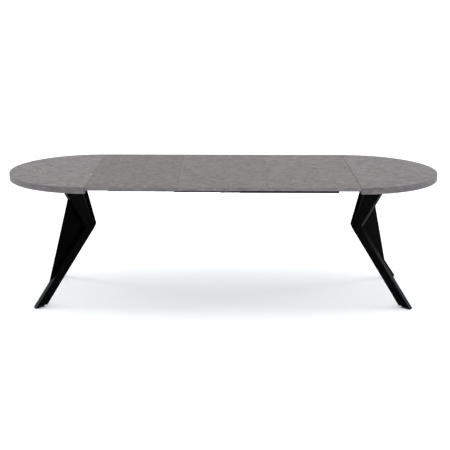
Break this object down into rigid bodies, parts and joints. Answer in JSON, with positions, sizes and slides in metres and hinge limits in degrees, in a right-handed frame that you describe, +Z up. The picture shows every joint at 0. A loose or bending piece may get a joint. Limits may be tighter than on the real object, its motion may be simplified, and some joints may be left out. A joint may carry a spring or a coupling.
{
  "type": "extendable dining table",
  "caption": "Long dining table with half-round ends, lift-out leaves on geared telescopic slides, and angled legs that bend at a knee.",
  "frame": {"origin": "on the floor, below the middle of the fully opened table", "axes": "+X along the table's length to the right, -Y the front long side, +Z up"},
  "size_m": [2.5, 1, 0.75],
  "materials": {
    "top_laminate": "matte grey concrete-look laminate on board",
    "leaf_laminate": "matte grey concrete-look laminate on board, a little warmer",
    "rim_core": "dark reddish-brown stained board",
    "edge_band": "matte purple-grey edging",
    "leg_lacquer": "satin black lacquer",
    "plate_steel": "black powder coat",
    "glide_plastic": "black moulded plastic",
    "slide_black": "black anodised extrusion",
    "rack_steel": "blackened punched strip",
    "pinion_nylon": "black nylon",
    "axle_steel": "bright zinc-plated pin"
  },
  "bodies": {
    "centre_slides": {"front_centre_axle": "axle_steel", "front_centre_left_rack": "rack_steel", "front_centre_right_rack": "rack_steel", "front_centre_slide": "slide_black", "rear_centre_axle": "axle_steel", "rear_centre_left_rack": "rack_steel", "rear_centre_right_rack": "rack_steel", "rear_centre_slide": "slide_black"},
    "left_half": {"front_left_foot_glide": "glide_plastic", "front_left_leg": "leg_lacquer", "front_left_leg_plate": "plate_steel", "front_left_outer_rack": "rack_steel", "front_left_outer_slide": "slide_black", "left_edge_band": "edge_band", "left_rim_doubler": "rim_core", "left_top_panel": "top_laminate", "rear_left_foot_glide": "glide_plastic", "rear_left_leg": "leg_lacquer", "rear_left_leg_plate": "plate_steel", "rear_left_outer_rack": "rack_steel", "rear_left_outer_slide": "slide_black"},
    "right_half": {"front_right_foot_glide": "glide_plastic", "front_right_leg": "leg_lacquer", "front_right_leg_plate": "plate_steel", "front_right_outer_rack": "rack_steel", "front_right_outer_slide": "slide_black", "rear_right_foot_glide": "glide_plastic", "rear_right_leg": "leg_lacquer", "rear_right_leg_plate": "plate_steel", "rear_right_outer_rack": "rack_steel", "rear_right_outer_slide": "slide_black", "right_edge_band": "edge_band", "right_rim_doubler": "rim_core", "right_top_panel": "top_laminate"},
    "left_middle_slides": {"front_left_middle_axle": "axle_steel", "front_left_middle_rack": "rack_steel", "front_left_middle_slide": "slide_black", "rear_left_middle_axle": "axle_steel", "rear_left_middle_rack": "rack_steel", "rear_left_middle_slide": "slide_black"},
    "right_middle_slides": {"front_right_middle_axle": "axle_steel", "front_right_middle_rack": "rack_steel", "front_right_middle_slide": "slide_black", "rear_right_middle_axle": "axle_steel", "rear_right_middle_rack": "rack_steel", "rear_right_middle_slide": "slide_black"},
    "front_centre_pinion": {"front_centre_pinion": "pinion_nylon"},
    "front_left_middle_pinion": {"front_left_middle_pinion": "pinion_nylon"},
    "front_right_middle_pinion": {"front_right_middle_pinion": "pinion_nylon"},
    "leaf_1": {"leaf_1": "leaf_laminate"},
    "leaf_2": {"leaf_2": "leaf_laminate"},
    "leaf_3": {"leaf_3": "leaf_laminate"},
    "rear_centre_pinion": {"rear_centre_pinion": "pinion_nylon"},
    "rear_left_middle_pinion": {"rear_left_middle_pinion": "pinion_nylon"},
    "rear_right_middle_pinion": {"rear_right_middle_pinion": "pinion_nylon"}
  },
  "joints": [
    {"name": "left_half_slide", "type": "slide", "parent": "centre_slides", "child": "left_half", "axis": [-1, 0, 0], "range_m": [0, 0.02]},
    {"name": "right_half_slide", "type": "slide", "parent": "centre_slides", "child": "right_half", "axis": [1, 0, 0], "range_m": [0, 0.02]},
    {"name": "left_middle_slide", "type": "slide", "parent": "centre_slides", "child": "left_middle_slides", "axis": [-1, 0, 0], "range_m": [0, 0.01]},
    {"name": "right_middle_slide", "type": "slide", "parent": "centre_slides", "child": "right_middle_slides", "axis": [1, 0, 0], "range_m": [0, 0.01]},
    {"name": "front_left_middle_pinion_spin", "type": "hinge", "parent": "left_middle_slides", "child": "front_left_middle_pinion", "pos_m": [-0.389, -0.23939, 0.69], "axis": [0, 0, 1], "range_deg": [0, 37.79]},
    {"name": "front_centre_pinion_spin", "type": "hinge", "parent": "centre_slides", "child": "front_centre_pinion", "pos_m": [0, -0.25739, 0.69], "axis": [0, 0, 1], "range_deg": [0, 37.79]},
    {"name": "front_right_middle_pinion_spin", "type": "hinge", "parent": "right_middle_slides", "child": "front_right_middle_pinion", "pos_m": [0.389, -0.27539, 0.69], "axis": [0, 0, 1], "range_deg": [0, 37.79]},
    {"name": "rear_left_middle_pinion_spin", "type": "hinge", "parent": "left_middle_slides", "child": "rear_left_middle_pinion", "pos_m": [-0.389, 0.23939, 0.69], "axis": [0, 0, 1], "range_deg": [-37.79, 0]},
    {"name": "rear_centre_pinion_spin", "type": "hinge", "parent": "centre_slides", "child": "rear_centre_pinion", "pos_m": [0, 0.25739, 0.69], "axis": [0, 0, 1], "range_deg": [-37.79, 0]},
    {"name": "rear_right_middle_pinion_spin", "type": "hinge", "parent": "right_middle_slides", "child": "rear_right_middle_pinion", "pos_m": [0.389, 0.27539, 0.69], "axis": [0, 0, 1], "range_deg": [-37.79, 0]},
    {"name": "leaf_1_lift", "type": "slide", "parent": "centre_slides", "child": "leaf_1", "axis": [0, 0, 1], "range_m": [0, 0.3]},
    {"name": "leaf_2_lift", "type": "slide", "parent": "centre_slides", "child": "leaf_2", "axis": [0, 0, 1], "range_m": [0, 0.3]},
    {"name": "leaf_3_lift", "type": "slide", "parent": "centre_slides", "child": "leaf_3", "axis": [0, 0, 1], "range_m": [0, 0.3]}
  ],
  "couplings": [
    {"joint": "right_half_slide", "follows": "left_half_slide", "ratio": 1},
    {"joint": "left_middle_slide", "follows": "left_half_slide", "ratio": 0.5},
    {"joint": "right_middle_slide", "follows": "left_half_slide", "ratio": 0.5},
    {"joint": "front_left_middle_pinion_spin", "follows": "left_half_slide", "rad_per_m": 32.895},
    {"joint": "front_centre_pinion_spin", "follows": "left_half_slide", "rad_per_m": 32.895},
    {"joint": "front_right_middle_pinion_spin", "follows": "left_half_slide", "rad_per_m": 32.895},
    {"joint": "rear_left_middle_pinion_spin", "follows": "left_half_slide", "rad_per_m": -32.895},
    {"joint": "rear_centre_pinion_spin", "follows": "left_half_slide", "rad_per_m": -32.895},
    {"joint": "rear_right_middle_pinion_spin", "follows": "left_half_slide", "rad_per_m": -32.895}
  ]
}
